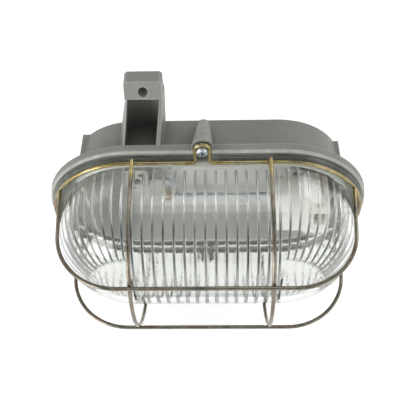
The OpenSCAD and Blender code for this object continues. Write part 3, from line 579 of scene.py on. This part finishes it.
def rib_crest(station, half_width, depth):
    """1 on a rib's crest and 0 on a flute and in the smooth spot, for the ribs' shade."""
    return rib(station, depth) * outside_spot(station, half_width)


def rib_push(station, half_width, depth):
    """Outward push of the inner face: 0 on a flute, inward on a rib and in the smooth spot."""
    flute = (1.0 - rib(station, depth)) * outside_spot(station, half_width)
    return -FLUTE_HEIGHT * (1.0 - flute)


def placed(station, half_width, depth):
    x, direction = station
    place = (x + half_width * cos(direction), -depth, half_width * sin(direction))
    return tuple(v * MM for v in place)


def bowl_skin(vertices, faces, crests, ring, points, ribbed):
    """Add the face that the points sweep round the ring, with or without ribs."""
    first, around = len(vertices), len(ring)
    for half_width, depth, out_width, out_depth in points:
        for station in ring:
            push = rib_push(station, half_width, depth) if ribbed else 0.0
            crests.append(rib_crest(station, half_width, depth) if ribbed else 0.0)
            vertices.append(placed(station, half_width + push * out_width,
                                   depth + push * out_depth))
    for j in range(len(points) - 1):
        for i in range(around):
            a, b = first + j * around + i, first + j * around + (i + 1) % around
            faces.append((a, b, b + around, a + around))


def glass_bowl():
    rim = [
        (INNER_HALF_WIDTH, RIM_BACK),
        (RIM_HALF_WIDTH - RIM_CHAMFER, RIM_BACK),
        (RIM_HALF_WIDTH, RIM_BACK + RIM_CHAMFER),
        (RIM_HALF_WIDTH, RIM_FRONT - RIM_CHAMFER),
        (RIM_HALF_WIDTH - RIM_CHAMFER, RIM_FRONT),
        (GLASS_HALF_WIDTH + RIM_FILLET, RIM_FRONT),
        (GLASS_HALF_WIDTH + RIM_FILLET_MIDDLE, RIM_FRONT + RIM_FILLET_MIDDLE),
        (GLASS_HALF_WIDTH, RIM_FRONT + RIM_FILLET),
    ]
    outer = [(*place, 0, 0) for place in rim] + bowl_profile(0.0, WALL_START, OUTER_STEP)
    inner = [(*rim[0], 0, 0)] + bowl_profile(GLASS_THICKNESS, RIB_START, INNER_STEP)
    ring = round_the_oval(flute_cuts())
    vertices, faces, crests = [], [], []
    bowl_skin(vertices, faces, crests, ring, outer, ribbed=False)
    bowl_skin(vertices, faces, crests, ring, inner, ribbed=True)

    mesh = bpy.data.meshes.new("glass_bowl_fluted")
    mesh.from_pydata(vertices, [], faces)
    mesh.update()
    mesh.materials.append(MATERIALS["pressed_glass"])
    for face in mesh.polygons:
        face.use_smooth = True
    mesh.attributes.new("rib_crest", "FLOAT", "POINT").data.foreach_set("value", crests)
    work = bmesh.new()
    work.from_mesh(mesh)
    bmesh.ops.remove_doubles(work, verts=work.verts, dist=SAME_PLACE * MM)
    bmesh.ops.recalc_face_normals(work, faces=work.faces)
    work.to_mesh(mesh)
    work.free()

    piece = bpy.data.objects.new("glass_bowl_fluted", mesh)
    bpy.context.collection.objects.link(piece)
    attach(piece, "root")
    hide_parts("glass_bowl")


# ---------------------------------------------------------------- stage, light and camera
def pale_floor(low):
    mesh = bpy.data.meshes.new("floor")
    half, z = FLOOR_HALF, low - FLOOR_GAP
    mesh.from_pydata([(-half, -half, z), (half, -half, z), (half, half, z), (-half, half, z)],
                     [], [(0, 1, 2, 3)])
    piece = bpy.data.objects.new("floor", mesh)
    bpy.context.collection.objects.link(piece)
    n = Nodes("pale_floor")
    n.set(Roughness=0.7, Specular_IOR_Level=0.2, Emission_Color=(*WHITE, 1.0),
          Emission_Strength=FLOOR_GLOW)
    n.colour(n.vary(n.noise(2.0), *FLOOR_PALE))
    mesh.materials.append(n.material)


def area_light(name, place, side, power):
    light = bpy.data.lights.new(name, "AREA")
    light.shape = "SQUARE"
    light.size = side
    light.energy = power
    lamp = bpy.data.objects.new(name, light)
    lamp.location = place
    aim = Vector(LIGHTS_AIM) - Vector(place)
    lamp.rotation_euler = aim.to_track_quat("-Z", "Y").to_euler()
    bpy.context.collection.objects.link(lamp)


def studio_glow(tree, direction):
    """The sum of all glows in a direction: strength x cosine to its aim ^ narrow."""
    total = None
    for name, (aim, narrow, strength) in GLOWS.items():
        facing = tree.nodes.new("ShaderNodeVectorMath")
        facing.operation = "DOT_PRODUCT"
        tree.links.new(direction, facing.inputs[0])
        facing.inputs[1].default_value = Vector(aim).normalized()
        lit = tree.nodes.new("ShaderNodeMath")
        lit.operation = "MAXIMUM"
        tree.links.new(facing.outputs["Value"], lit.inputs[0])
        lit.inputs[1].default_value = 0.0 if narrow else 1.0
        soft = tree.nodes.new("ShaderNodeMath")
        soft.operation = "POWER"
        tree.links.new(lit.outputs[0], soft.inputs[0])
        soft.inputs[1].default_value = narrow
        part = tree.nodes.new("ShaderNodeMath")
        part.name = name
        part.operation = "MULTIPLY_ADD"
        tree.links.new(soft.outputs[0], part.inputs[0])
        part.inputs[1].default_value = strength
        part.inputs[2].default_value = 0.0
        if total:
            tree.links.new(total, part.inputs[2])
        total = part.outputs[0]
    return total


def studio():
    bpy.context.scene.view_settings.view_transform = "Standard"
    world = bpy.data.worlds.new("studio")
    bpy.context.scene.world = world
    world.use_nodes = True
    tree = world.node_tree
    back = tree.nodes["Background"]
    back.inputs["Color"].default_value = (*WHITE, 1.0)
    direction = tree.nodes.new("ShaderNodeTexCoord").outputs["Generated"]
    tree.links.new(studio_glow(tree, direction), back.inputs["Strength"])
    for name, (place, side, power) in LIGHTS.items():
        area_light(name, place, side, power)


def camera():
    data = bpy.data.cameras.new("camera")
    data.lens = CAMERA_LENS
    data.sensor_width = CAMERA_SENSOR
    data.clip_start = CAMERA_NEAR
    cam = bpy.data.objects.new("camera", data)
    back = Vector((sin(CAMERA_AZIMUTH) * cos(CAMERA_ELEVATION),
                   -cos(CAMERA_AZIMUTH) * cos(CAMERA_ELEVATION), sin(CAMERA_ELEVATION)))
    right = (-back).cross(Vector((0, 0, 1))).normalized()
    up = right.cross(-back)
    turned_right = cos(CAMERA_ROLL) * right + sin(CAMERA_ROLL) * up
    turned_up = cos(CAMERA_ROLL) * up - sin(CAMERA_ROLL) * right
    rotation = Matrix((turned_right, turned_up, back)).transposed().to_4x4()
    cam.matrix_world = Matrix.Translation(CAMERA_AIM + back * CAMERA_DISTANCE) @ rotation
    bpy.context.collection.objects.link(cam)
    bpy.context.scene.camera = cam


camera()
dress_nodes()
glass_bowl()
pale_floor(CAD_BOX[0][2])
studio()
